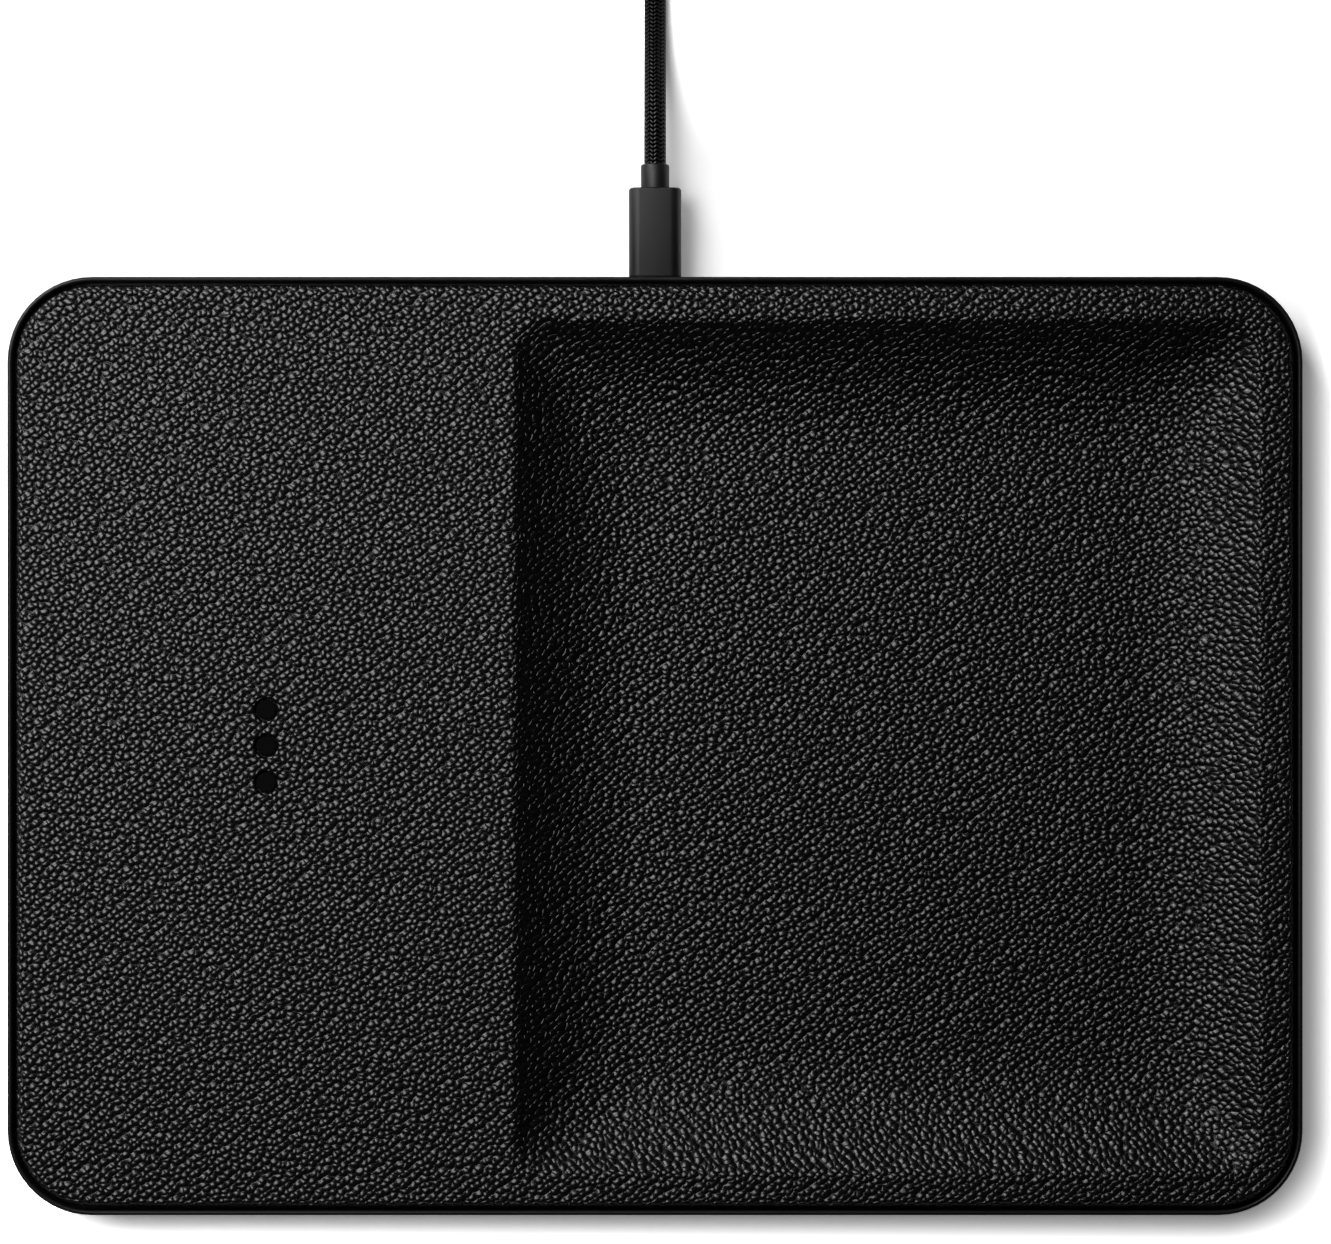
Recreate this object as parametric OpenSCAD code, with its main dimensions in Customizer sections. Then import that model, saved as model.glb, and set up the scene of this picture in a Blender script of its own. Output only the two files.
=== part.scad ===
// Charging station organizer: a leather-faced tray with a wireless charging zone on the left,
// a soft-cornered catch-all recess on the right, and a detachable braided power cord.
// Sizes are in millimetres. +X is the tray's right, +Y its back, where the cord leaves, +Z is up.
// The origin is the centre of the tray's footprint, on the surface that it stands on.

/* [Tray] */
// Outside length of the tray, left to right
tray_l = 260; // [250:1:280]
// Outside width of the tray, front to back
tray_w = 188.4; // [180:0.2:200]
// Height of the leather's face above the standing surface
tray_h = 18; // [18:0.5:24]
// Corner radius of the tray, seen from above
tray_r = 17; // [14:0.5:24]

/* [Base shell] */
// Thickness of the rim that shows round the leather
rim_t = 1.0; // [0.8:0.1:1.3]
// How far the rim stays below the leather's face
rim_drop = 0.8; // [0.4:0.1:1.6]
// Thickness of the wall below the core's seat
wall_t = 2.6; // [2.4:0.1:3.2]
// Thickness of the base's floor
floor_t = 2.0; // [1.8:0.1:2.6]
// Rounding of the lower outside edge
edge_r = 2.2; // [1:0.1:2.3]
// Height of the shoulder that the core sits on
ledge_z = 11.5; // [11.2:0.1:12]
// Thickness of the two ribs under the recess
rib_t = 1.6; // [1:0.1:2.4]
// Length of the ribs
rib_l = 70; // [40:1:76]
// Distance of the ribs from the tray's middle line
rib_y = 24; // [12:1:34]

/* [Foot mat] */
// Thickness of the foot mat
mat_t = 1.2; // [1:0.1:1.6]
// How far the mat stands out below the base
mat_proud = 0.6; // [0.4:0.1:0.8]
// Distance from the tray's edge to the mat's edge
mat_inset = 8; // [6:0.5:9]

/* [Leather and core] */
// Width of the dark groove between the rim and the leather
groove_w = 0.7; // [0.5:0.1:1]
// Thickness of the leather
leather_t = 1.2; // [0.9:0.1:1.4]
// Radius over which the leather rolls down at its outer edge
roll_r = 2.0; // [1.8:0.1:3]
// Glue space between the leather and the core
glue_t = 0.3; // [0.2:0.05:0.4]
// Wall thickness of the moulded core
core_t = 2.0; // [1.8:0.1:2.2]
// Thickness of the core's outer flange
flange_t = 1.0; // [0.8:0.1:1.4]

/* [Recess] */
// Distance from the tray's left edge to the recess's lip
zone_w = 101; // [96:1:108]
// Distance from the tray's other edges to the recess's lip
recess_margin = 7.8; // [7.2:0.1:10]
// Depth of the recess below the leather's face
recess_depth = 8.5; // [6:0.1:8.8]
// Distance from the lip to the flat floor, seen from above
wall_run = 26.5; // [22:0.5:30]
// Radius of the leather where it turns over the lip
lip_r = 2.75; // [2:0.05:3.2]
// Corner radius at the lip, seen from above
lip_corner_r = 6; // [4:0.5:10]
// Corner radius at the flat floor, seen from above
floor_corner_r = 13; // [8:0.5:18]

/* [Marker dots] */
// Radius of the holes in the leather
hole_r = 2.2; // [1.6:0.1:2.8]
// Clearance between a marker and its hole
marker_gap = 0.15; // [0.1:0.05:0.3]
// Distance between neighbouring markers
marker_pitch = 7.3; // [6.4:0.1:10]
// How far the markers stay below the leather's face
marker_sink = 0.5; // [0.2:0.1:0.9]

/* [Charging coil] */
// Distance from the tray's left edge to the coil's centre
coil_x = 52; // [48:1:56]
// Diameter of the coil's wire
wire_d = 1.2; // [0.9:0.1:1.2]
// Space between neighbouring turns
wire_gap = 0.5; // [0.45:0.05:0.6]
// Radius of the innermost turn
turn_r = 9.5; // [9:0.1:10]
// Side of the square ferrite shield
ferrite_w = 54; // [52:1:58]
// Thickness of the ferrite shield
ferrite_t = 1.6; // [1.5:0.1:2]
// Length of the bracket that holds the ferrite, left to right
bracket_l = 72; // [70:1:78]
// Width of the bracket, front to back
bracket_w = 58; // [56:1:60]
// Thickness of the bracket
bracket_t = 1.5; // [1.2:0.1:1.8]
// Radius of the thermistor bead
bead_r = 1.5; // [1:0.1:2]

/* [Circuit boards] */
// Thickness of both boards
board_t = 1.2; // [1:0.1:1.6]
// Height of the top of the base's pads and standoffs
pad_z = 4.4; // [4.3:0.1:4.6]
// Length of the main board, left to right
board_l = 60; // [52:1:64]
// Width of the main board, front to back
board_w = 44; // [38:1:45]
// Distance from the ferrite shield to the main board
board_gap = 7; // [6:0.5:8]
// Length of the port board, left to right
port_board_l = 24; // [22:1:30]
// Width of the port board, front to back
port_board_w = 24; // [22:0.5:26]
// Width of the ribbon between the boards
ribbon_w = 5; // [3:0.5:6]
// Thickness of the ribbon
ribbon_t = 0.3; // [0.2:0.05:0.4]

/* [Screws] */
// Radius of the case screws' thread
case_screw_r = 1.25; // [1:0.05:1.5]
// Length of the case screws below the head
case_screw_l = 4.4; // [3.6:0.1:4.5]
// Radius of the board and bracket screws' thread
board_screw_r = 0.8; // [0.6:0.05:1]
// Clearance round each screw's thread
thread_gap = 0.1; // [0.05:0.05:0.15]
// Distance of the outer case screws from the tray's edges
screw_inset = 12; // [11.5:0.5:13]

/* [Port] */
// Height of the port's centre
port_z = 7.2; // [7.2:0.1:7.4]
// Length of the receptacle
socket_l = 7.5; // [7.3:0.1:8]
// Wall thickness of the receptacle's shell
socket_t = 0.3; // [0.2:0.05:0.4]
// Width of the bezel
bezel_w = 19; // [16:0.5:24]
// Height of the bezel
bezel_h = 7.4; // [6:0.1:7.8]
// Thickness of the bezel
bezel_t = 1.4; // [1.2:0.1:1.6]
// How far the bezel stands out of the back wall
bezel_proud = 0.2; // [0.1:0.05:0.4]

/* [Plug] */
// Width of the plug's steel shell
plug_shell_w = 8.25; // [8:0.05:8.4]
// Height of the plug's steel shell
plug_shell_h = 2.4; // [2.3:0.05:2.5]
// Length of the shell in front of the housing
plug_shell_l = 6.6; // [6.4:0.05:6.7]
// Wall thickness of the plug's steel shell
plug_shell_t = 0.3; // [0.25:0.05:0.35]
// Clearance between the plug's shell and the receptacle
plug_gap = 0.1; // [0.05:0.05:0.15]
// Width of the plug's housing
housing_w = 10.6; // [10:0.1:12]
// Height of the plug's housing
housing_h = 5.2; // [5:0.1:6]
// Length of the plug's housing
housing_l = 18; // [15:0.5:24]
// Corner radius of the plug's housing, seen from its end
housing_r = 2.3; // [1.5:0.1:2.4]
// Gap between the housing and the bezel when the plug is in
seat_gap = 0.3; // [0.2:0.05:0.4]
// Diameter of the collar behind the housing
collar_d = 5.75; // [5:0.05:6.5]
// Length of the collar
collar_l = 4.8; // [3:0.1:7]

/* [Cord] */
// Diameter of the braided cord
cord_d = 4.4; // [3.8:0.1:4.6]
// Number of turns in the put-away coil
cord_turns = 11.25; // [9.25:1:11.25]
// Radius of the coil at the middle of its turns
cord_mid_r = 23.4; // [22:0.1:25]
// Space between neighbouring turns of the coil
cord_gap = 0.5; // [0.45:0.05:0.6]
// Thickness of the tie round the coil
tie_t = 0.6; // [0.5:0.1:0.8]
// Width of the tie
tie_w = 9; // [6:0.5:12]

/* [Hidden] */

// Small clearances and overlaps that several pieces share
fit_gap = 0.3;
seat_lap = 0.2;
cut_over = 1;

// Heights
base_z = mat_proud;
floor_z = base_z + floor_t;
rim_z = tray_h - rim_drop;
flange_z = ledge_z + flange_t;
core_top = leather_t + glue_t;
core_under = core_top + core_t;
ceiling_z = tray_h - core_under;
board_z = pad_z + board_t;

// Outline of the leather, measured inwards from the tray's outside
leather_in = rim_t + groove_w;
flange_in = rim_t + fit_gap;

// Recess, seen from above
recess_l = tray_l - zone_w - recess_margin;
recess_w = tray_w - 2 * recess_margin;
recess_x = tray_l / 2 - recess_margin - recess_l / 2;
floor_l = recess_l - 2 * wall_run;
floor_w = recess_w - 2 * wall_run;

// Slope of the recess's wall: a tight arc over the lip runs into a long arc down to the floor
wall_angle = 2 * atan(recess_depth / wall_run);
wall_r = wall_run / sin(wall_angle) - lip_r;

// Steps of the curves in the leather and the core
corner_steps = 6;
roll_steps = 4;
lip_steps = 3;
wall_steps = 8;

// Points of a rounded rectangle at height z, anticlockwise from its right side
function outline(cx, cy, hl, hw, r, z) = [
    for (q = [0:3])
        for (k = [0:corner_steps])
            let (
                a = 90 * q + 90 * k / corner_steps,
                sx = (q == 0 || q == 3) ? 1 : -1,
                sy = q < 2 ? 1 : -1
            )
            [cx + sx * (hl - r) + r * cos(a), cy + sy * (hw - r) + r * sin(a), z]
];

// Outline that lies "inset" inside the tray's outside
function tray_ring(inset, z) =
    outline(0, 0, tray_l / 2 - inset, tray_w / 2 - inset, tray_r - inset, z);

// Outline of the recess's wall, s inwards from its lip
function recess_ring(s, z) =
    outline(
        recess_x, 0, recess_l / 2 - s, recess_w / 2 - s,
        lip_corner_r + (floor_corner_r - lip_corner_r) * s / wall_run, z
    );

// The wall of the recess at depth t below the leather's face: [distance from the lip, height]
function wall_path(t) =
    let (start = t < lip_r ? wall_angle : acos((wall_r - recess_depth + t) / (wall_r + t)))
    concat(
        t < lip_r
            ? [
                for (i = [0:lip_steps - 1])
                    let (a = wall_angle * i / lip_steps)
                    [(lip_r - t) * sin(a), tray_h - lip_r + (lip_r - t) * cos(a)]
            ]
            : [],
        [
            for (i = [0:wall_steps])
                let (b = start * (1 - i / wall_steps))
                [
                    wall_run - (wall_r + t) * sin(b),
                    tray_h - recess_depth + wall_r - (wall_r + t) * cos(b)
                ]
        ]
    );

// The outer edge at depth t below the leather's face: [distance from the tray's outside, height]
function roll_path(t) =
    t < roll_r
        ? [
            for (i = [0:roll_steps])
                let (a = 90 * i / roll_steps)
                [
                    leather_in + roll_r - (roll_r - t) * cos(a),
                    tray_h - roll_r + (roll_r - t) * sin(a)
                ]
        ]
        : [[leather_in + t, tray_h - t]];

function reversed(list) = [for (i = [len(list) - 1:-1:0]) list[i]];
function recess_rings(path) = [for (p = path) recess_ring(p[0], p[1])];
function tray_rings(path) = [for (p = path) tray_ring(p[0], p[1])];

// A closed skin over rings of equal count, from the first ring to the last
module skin(rings) {
    n = len(rings[0]);
    last = (len(rings) - 1) * n;
    polyhedron(
        points = [for (r = rings) each r],
        faces = concat(
            [for (k = [1:n - 2]) [0, k + 1, k]],
            [
                for (m = [0:len(rings) - 2])
                    for (k = [0:n - 1])
                        let (a = m * n + k, b = m * n + (k + 1) % n)
                        each [[a, b, b + n], [a, b + n, a + n]]
            ],
            [for (k = [1:n - 2]) [last, last + k, last + k + 1]]
        )
    );
}

// A round tube along a list of points
function unit(v) = v / norm(v);
function heading(p, i) = unit(p[min(i + 1, len(p) - 1)] - p[max(i - 1, 0)]);
function tube_ring(p, i, r, sides) =
    let (
        t = heading(p, i),
        s = unit(cross(t, [0, 0, 1])),
        u = cross(s, t)
    )
    [
        for (k = [0:sides - 1])
            let (a = 360 * (k + 0.5) / sides)
            p[i] + r * (cos(a) * s + sin(a) * u)
    ];
module tube(p, d, sides) {
    skin([for (i = [0:len(p) - 1]) tube_ring(p, i, d / 2, sides)]);
}

// Least distance between points of a line that lie more than "apart" points from each other
function least_gap(p, apart) =
    min([
        for (i = [0:len(p) - 1 - apart])
            min([for (j = [i + apart:len(p) - 1]) norm(p[i] - p[j])])
    ]);
function line_length(p, i = 0) =
    i < len(p) - 1 ? norm(p[i + 1] - p[i]) + line_length(p, i + 1) : 0;

// Flat shapes
module rounded_rect(l, w, r) {
    square([l - 2 * r, w], center = true);
    square([l, w - 2 * r], center = true);
    for (sx = [-1, 1], sy = [-1, 1])
        translate([sx * (l / 2 - r), sy * (w / 2 - r)])
            circle(r = r, $fn = 64);
}
module stadium(w, h) {
    square([w - h, h], center = true);
    for (sx = [-1, 1])
        translate([sx * (w - h) / 2, 0])
            circle(r = h / 2, $fn = 48);
}

// Stands a flat shape up at the back of the tray, y0 forwards of its far face, with thickness t
module upright(y0, z0, t) {
    translate([0, y0, z0])
        rotate([90, 0, 0])
            linear_extrude(t)
                children();
}

// Carries a profile round the tray's outside; its +X points outwards and its +Y upwards
module around_tray() {
    run_l = tray_l - 2 * tray_r;
    run_w = tray_w - 2 * tray_r;
    for (turn = [0, 180]) {
        rotate(turn)
            translate([-run_l / 2, tray_w / 2, 0])
                rotate([90, 0, 90])
                    linear_extrude(run_l)
                        children();
        rotate(turn)
            translate([tray_l / 2, run_w / 2, 0])
                rotate([90, 0, 0])
                    linear_extrude(run_w)
                        children();
        rotate(turn)
            translate([run_l / 2, run_w / 2, 0])
                rotate_extrude(angle = 90, $fn = 96)
                    translate([tray_r, 0])
                        children();
        rotate(turn)
            translate([-run_l / 2, run_w / 2, 0])
                rotate(90)
                    rotate_extrude(angle = 90, $fn = 96)
                        translate([tray_r, 0])
                            children();
    }
}

// Screws
screw_head_t = 1.3;
case_head_r = 2.3;
board_head_r = 1.7;
board_head_t = 1.2;
board_screw_l = 3.4;
head_gap = 0.3;
head_z = base_z + (mat_t - mat_proud) + 0.1;
case_seat_z = head_z + screw_head_t;
case_pad_r = 4.2;
case_boss_r = 3.5;
divider_inset = 11;
floor_screw_inset = 10;
case_screw_at = concat(
    [
        for (x = [-tray_l / 2 + screw_inset, -tray_l / 2 + zone_w - divider_inset], sy = [-1, 1])
            [x, sy * (tray_w / 2 - screw_inset)]
    ],
    [
        for (sx = [-1, 1], sy = [-1, 1])
            [
                recess_x + sx * (floor_l / 2 - floor_screw_inset),
                sy * (floor_w / 2 - floor_screw_inset)
            ]
    ]
);

module at_each(places) {
    for (p = places)
        translate([p[0], p[1], 0])
            children();
}

// A pan-head screw that points up, its head's seat at z = 0
module screw(r, l, head_r, head_t) {
    slot_w = 0.5;
    slot_t = 0.4;
    cylinder(r = r, h = l, $fn = 32);
    difference() {
        translate([0, 0, -head_t])
            cylinder(r = head_r, h = head_t, $fn = 48);
        for (a = [0, 90])
            rotate(a)
                translate([-head_r / 2, -slot_w / 2, -head_t - cut_over])
                    cube([head_r, slot_w, slot_t + cut_over]);
    }
}

// Base shell
module wall_profile() {
    bead_r = rim_t / 2;
    translate([-rim_t, ledge_z - cut_over])
        square([rim_t, rim_z - bead_r - ledge_z + cut_over]);
    translate([-bead_r, rim_z - bead_r])
        circle(r = bead_r, $fn = 32);
    translate([-wall_t, base_z + edge_r])
        square([wall_t, ledge_z - base_z - edge_r]);
    translate([-wall_t, base_z])
        square([wall_t - edge_r, 2 * edge_r]);
    intersection() {
        translate([-edge_r, base_z + edge_r])
            circle(r = edge_r, $fn = 64);
        translate([-edge_r, base_z])
            square(edge_r);
    }
}

standoff_r = 2.6;
board_screw_inset = 3.5;
board_x = -tray_l / 2 + coil_x + 2;
board_y = ferrite_w / 2 + board_gap + board_w / 2;
board_screw_at = [
    for (sx = [-1, 1], sy = [-1, 1])
        [
            board_x + sx * (board_l / 2 - board_screw_inset),
            board_y + sy * (board_w / 2 - board_screw_inset)
        ]
];
port_board_back = tray_w / 2 - wall_t - fit_gap;
port_screw_inset = 2.7;
port_screw_from_back = 11;
port_screw_at = [
    for (sx = [-1, 1])
        [sx * (port_board_l / 2 - port_screw_inset), port_board_back - port_screw_from_back]
];

// The receptacle is one plug gap larger inside than the plug's shell
socket_in_w = plug_shell_w + 2 * plug_gap;
socket_in_h = plug_shell_h + 2 * plug_gap;
socket_w = socket_in_w + 2 * socket_t;
socket_h = socket_in_h + 2 * socket_t;
bezel_y = tray_w / 2 + bezel_proud;
mouth_y = bezel_y - bezel_t;
bezel_r = 2;
bezel_gap = 0.1;
bezel_hole_gap = 0.2;

module base_shell() {
    lap = wall_t - seat_lap;
    color("#26272a")
        difference() {
            union() {
                around_tray()
                    wall_profile();
                translate([0, 0, base_z])
                    linear_extrude(floor_t)
                        rounded_rect(tray_l - 2 * lap, tray_w - 2 * lap, tray_r - lap);
                at_each(case_screw_at)
                    translate([0, 0, floor_z - seat_lap])
                        cylinder(r = case_pad_r, h = pad_z - floor_z + seat_lap, $fn = 48);
                at_each(concat(board_screw_at, port_screw_at))
                    translate([0, 0, floor_z - seat_lap])
                        cylinder(r = standoff_r, h = pad_z - floor_z + seat_lap, $fn = 48);
                for (sy = [-1, 1])
                    translate([recess_x - rib_l / 2, sy * rib_y - rib_t / 2, floor_z - seat_lap])
                        cube([rib_l, rib_t, ceiling_z - recess_depth - fit_gap - floor_z + seat_lap]);
            }
            translate([0, 0, base_z - cut_over])
                linear_extrude(mat_t - mat_proud + cut_over)
                    rounded_rect(
                        tray_l - 2 * (mat_inset - mat_gap), tray_w - 2 * (mat_inset - mat_gap),
                        tray_r - mat_inset + mat_gap
                    );
            at_each(case_screw_at) {
                translate([0, 0, base_z])
                    cylinder(r = case_head_r + head_gap, h = case_seat_z - base_z, $fn = 48);
                cylinder(r = case_screw_r + thread_gap, h = pad_z + cut_over, $fn = 32);
            }
            at_each(concat(board_screw_at, port_screw_at))
                translate([0, 0, board_z - board_screw_l - fit_gap])
                    cylinder(r = board_screw_r + thread_gap, h = board_screw_l, $fn = 32);
            upright(tray_w / 2 + cut_over, port_z, wall_t + 2 * cut_over)
                stadium(socket_w + 2 * fit_gap, socket_h + 2 * fit_gap);
            upright(tray_w / 2 + cut_over, port_z, bezel_t - bezel_proud + cut_over)
                rounded_rect(bezel_w + 2 * bezel_gap, bezel_h + 2 * bezel_gap, bezel_r + bezel_gap);
        }
}

// Foot mat, glued into the recess under the base, over the screws' heads
mat_gap = 0.3;
module foot_mat() {
    color("#1b1b1c")
        linear_extrude(mat_t)
            rounded_rect(tray_l - 2 * mat_inset, tray_w - 2 * mat_inset, tray_r - mat_inset);
}

module port_bezel() {
    color("#202124")
        difference() {
            upright(bezel_y, port_z, bezel_t)
                rounded_rect(bezel_w, bezel_h, bezel_r);
            upright(bezel_y + cut_over, port_z, bezel_t + 2 * cut_over)
                stadium(plug_shell_w + 2 * bezel_hole_gap, plug_shell_h + 2 * bezel_hole_gap);
        }
}

// Core: the former under the leather, with a flange on the base's shoulder and bosses for the screws
post_r = 2.4;
bracket_screw_inset = 3.4;
coil_at = [-tray_l / 2 + coil_x, 0];
bracket_top = ceiling_z - fit_gap - wire_d - fit_gap - ferrite_t;
bracket_screw_at = [
    for (sx = [-1, 1], sy = [-1, 1])
        [
            coil_at[0] + sx * (bracket_l / 2 - bracket_screw_inset),
            sy * (bracket_w / 2 - bracket_screw_inset)
        ]
];
tip_gap = 0.4;

module core_skin() {
    skin(concat(
        recess_rings(reversed(wall_path(core_top))),
        tray_rings(reversed(roll_path(core_top))),
        tray_rings([
            [leather_in + core_top, flange_z],
            [flange_in, flange_z],
            [flange_in, ledge_z],
            [leather_in + core_under, ledge_z]
        ]),
        tray_rings(roll_path(core_under)),
        recess_rings(wall_path(core_under))
    ));
}
module core_boss(z) {
    translate([0, 0, pad_z])
        cylinder(r = case_boss_r, h = z - pad_z + seat_lap, $fn = 48);
}
module top_core() {
    color("#3a3b3e")
        difference() {
            union() {
                core_skin();
                for (p = case_screw_at)
                    translate([p[0], p[1], 0])
                        core_boss(p[0] < recess_x - recess_l / 2 ? ceiling_z : ceiling_z - recess_depth);
                at_each(bracket_screw_at)
                    translate([0, 0, bracket_top])
                        cylinder(r = post_r, h = ceiling_z - bracket_top + seat_lap, $fn = 48);
            }
            at_each(case_screw_at)
                translate([0, 0, pad_z - cut_over])
                    cylinder(
                        r = case_screw_r + thread_gap,
                        h = case_seat_z + case_screw_l + tip_gap - pad_z + cut_over, $fn = 32
                    );
            at_each(bracket_screw_at)
                translate([0, 0, bracket_top - cut_over])
                    cylinder(
                        r = board_screw_r + thread_gap,
                        h = board_screw_l - bracket_t + tip_gap + cut_over, $fn = 32
                    );
        }
}

// Leather: one piece over the charging zone, the border and the recess, down into the groove
marker_y = [marker_pitch, 0, -marker_pitch];
module leather_cover() {
    hem_z = flange_z + fit_gap;
    color("#1d1d1f")
        difference() {
            skin(concat(
                recess_rings(reversed(wall_path(0))),
                tray_rings(reversed(roll_path(0))),
                tray_rings([[leather_in, hem_z], [leather_in + leather_t, hem_z]]),
                tray_rings(roll_path(leather_t)),
                recess_rings(wall_path(leather_t))
            ));
            for (y = marker_y)
                translate([coil_at[0], y, tray_h - leather_t - cut_over])
                    cylinder(r = hole_r, h = leather_t + 2 * cut_over, $fn = 48);
        }
}

// Marker dots: sunk studs that show where a phone goes
module marker(y) {
    color("#0c0c0d")
        translate([coil_at[0], y, tray_h - core_top])
            cylinder(r = hole_r - marker_gap, h = core_top - marker_sink, $fn = 48);
}
module marker_back() {
    marker(marker_y[0]);
}
module marker_middle() {
    marker(marker_y[1]);
}
module marker_front() {
    marker(marker_y[2]);
}

// Charging coil: one wire, from the board up to the outer turn, in to the inner turn and back down
// through the ferrite's slot. The leads' points are [right of the coil's centre, behind it, up].
wire_turns = 9;
turn_rings = 24;
wire_pitch = wire_d + wire_gap;
wire_z = ceiling_z - fit_gap - wire_d / 2;
turn_out_r = turn_r + wire_turns * wire_pitch;
well_x = -7.8;
lead_z = board_z + wire_d / 2 + 0.1;
outer_lead = [
    [10, 40.4, lead_z], [10, 38.6, lead_z], [10, 36.8, lead_z + 0.5], [10, 35, wire_z - 6],
    [9.9, 32.6, wire_z - 3.9], [9.6, 30.6, wire_z - 2], [8.6, 28.8, wire_z - 0.6],
    [6.8, 27.2, wire_z - 0.1], [4.5, 26, wire_z], [2.2, 25.2, wire_z]
];
inner_lead = [
    [-2.4, 8.8, wire_z], [-4.4, 7.2, wire_z - 0.3], [-6, 6.4, wire_z - 1.1],
    [-7.2, 7, wire_z - 1.6], [well_x, 8.4, wire_z - 1.75], [well_x, 11, wire_z - 1.75],
    [well_x, 19, wire_z - 1.75], [well_x, 27.6, wire_z - 1.75], [well_x, 30.4, wire_z - 2.3],
    [well_x, 32.8, wire_z - 4.2], [well_x, 35, wire_z - 6.2], [well_x, 37, lead_z + 0.4],
    [well_x, 39, lead_z], [well_x, 40.8, lead_z]
];
wire_path = concat(
    outer_lead,
    [
        for (i = [0:wire_turns * turn_rings])
            let (
                r = turn_out_r - wire_pitch * i / turn_rings,
                a = 90 + 360 * i / turn_rings
            )
            [r * cos(a), r * sin(a), wire_z]
    ],
    inner_lead
);
module charging_coil() {
    color("#b87333")
        translate([coil_at[0], coil_at[1], 0])
            tube(wire_path, wire_d, 6);
}

module ferrite_shield() {
    well_r = 3;
    well_at = [-6.3, 7];
    slot_w = wire_d + 2 * fit_gap;
    color("#3d3b3a")
        translate([coil_at[0], coil_at[1], bracket_top])
            difference() {
                linear_extrude(ferrite_t)
                    rounded_rect(ferrite_w, ferrite_w, 3);
                translate([well_at[0], well_at[1], -cut_over])
                    cylinder(r = well_r, h = ferrite_t + 2 * cut_over, $fn = 48);
                translate([well_x - slot_w / 2, well_at[1], -cut_over])
                    cube([slot_w, ferrite_w, ferrite_t + 2 * cut_over]);
            }
}

module coil_bracket() {
    lip_t = 1;
    lip_h = 0.8;
    color("#55575a")
        translate([coil_at[0], coil_at[1], bracket_top - bracket_t])
            difference() {
                union() {
                    linear_extrude(bracket_t)
                        rounded_rect(bracket_l, bracket_w, 3);
                    for (sx = [-1, 1])
                        translate([
                            sx * (ferrite_w / 2 + fit_gap + lip_t / 2) - lip_t / 2,
                            -ferrite_w / 4, bracket_t - seat_lap
                        ])
                            cube([lip_t, ferrite_w / 2, lip_h + seat_lap]);
                }
                for (p = bracket_screw_at)
                    translate([p[0] - coil_at[0], p[1], -cut_over])
                        cylinder(r = board_screw_r + thread_gap, h = bracket_t + 2 * cut_over, $fn = 32);
            }
}

module bracket_screws() {
    color("#9a9ca0")
        at_each(bracket_screw_at)
            translate([0, 0, bracket_top - bracket_t])
                screw(board_screw_r, board_screw_l, board_head_r, board_head_t);
}

module thermistor() {
    color("#20242c")
        translate([coil_at[0], coil_at[1], bracket_top + ferrite_t])
            cylinder(r = bead_r, h = wire_d, $fn = 32);
}

// Boards
module board(x, y, l, w, screws) {
    color("#12402c")
        difference() {
            translate([x, y, pad_z])
                linear_extrude(board_t)
                    rounded_rect(l, w, 1.5);
            at_each(screws)
                translate([0, 0, pad_z - cut_over])
                    cylinder(r = board_screw_r + thread_gap, h = board_t + 2 * cut_over, $fn = 32);
        }
}
module circuit_board() {
    board(board_x, board_y, board_l, board_w, board_screw_at);
}
module port_board() {
    board(0, port_board_back - port_board_w / 2, port_board_l, port_board_w, port_screw_at);
}
module board_fixings(places) {
    color("#9a9ca0")
        at_each(places)
            translate([0, 0, board_z])
                rotate([180, 0, 0])
                    screw(board_screw_r, board_screw_l, board_head_r, board_head_t);
}
module board_screws() {
    board_fixings(board_screw_at);
}
module port_screws() {
    board_fixings(port_screw_at);
}

// A chip with a round dimple that marks its first leg, at [x, y] from the main board's centre
module chip(x, y, side, h) {
    dimple_r = 0.4;
    dimple_t = 0.1;
    translate([board_x + x, board_y + y, board_z])
        difference() {
            translate([-side / 2, -side / 2, 0])
                cube([side, side, h]);
            translate([1 - side / 2, side / 2 - 1, h - dimple_t])
                cylinder(r = dimple_r, h = dimple_t + cut_over, $fn = 24);
        }
}
module controller_chip() {
    color("#17181a")
        chip(-10, 8, 7, 0.9);
}
module driver_chips() {
    color("#17181a")
        for (y = [-4, 5])
            chip(4, y, 5, 0.9);
}
module power_inductor() {
    side = 7;
    h = 3;
    color("#4a4a4d")
        translate([board_x + 17, board_y + 8, board_z])
            difference() {
                linear_extrude(h)
                    rounded_rect(side, side, 1.2);
                translate([0, 0, h - 0.3])
                    cylinder(r = 2.2, h = cut_over, $fn = 48);
            }
}
module resonant_capacitors() {
    color("#a08a64")
        for (i = [0:3])
            translate([board_x - 22 + 5 * i, board_y - 8, board_z])
                linear_extrude(2)
                    rounded_rect(3.2, 2.5, 0.3);
}

// Ribbon between the boards, pushed into a socket on each, with a bend over the space between them
ribbon_in = 3;
ribbon_up = 0.3;
link_inset = 4;
link_from_middle = 8;
link_from_back = 19.3;
link_x = [board_x + board_l / 2 - link_inset, -port_board_l / 2 + link_inset];
link_y = [board_y + link_from_middle, port_board_back - link_from_back];
module link_ribbon() {
    bend_x = [link_x[0] + 3 * ribbon_in, link_x[1] - 3 * ribbon_in];
    edge = [
        [link_x[0], link_y[0]], [bend_x[0], link_y[0]],
        [bend_x[1], link_y[1]], [link_x[1], link_y[1]]
    ];
    color("#6a5a3a")
        translate([0, 0, board_z + ribbon_up])
            linear_extrude(ribbon_t)
                polygon(concat(
                    [for (p = edge) p - [0, ribbon_w / 2]],
                    [for (p = reversed(edge)) p + [0, ribbon_w / 2]]
                ));
}
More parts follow.
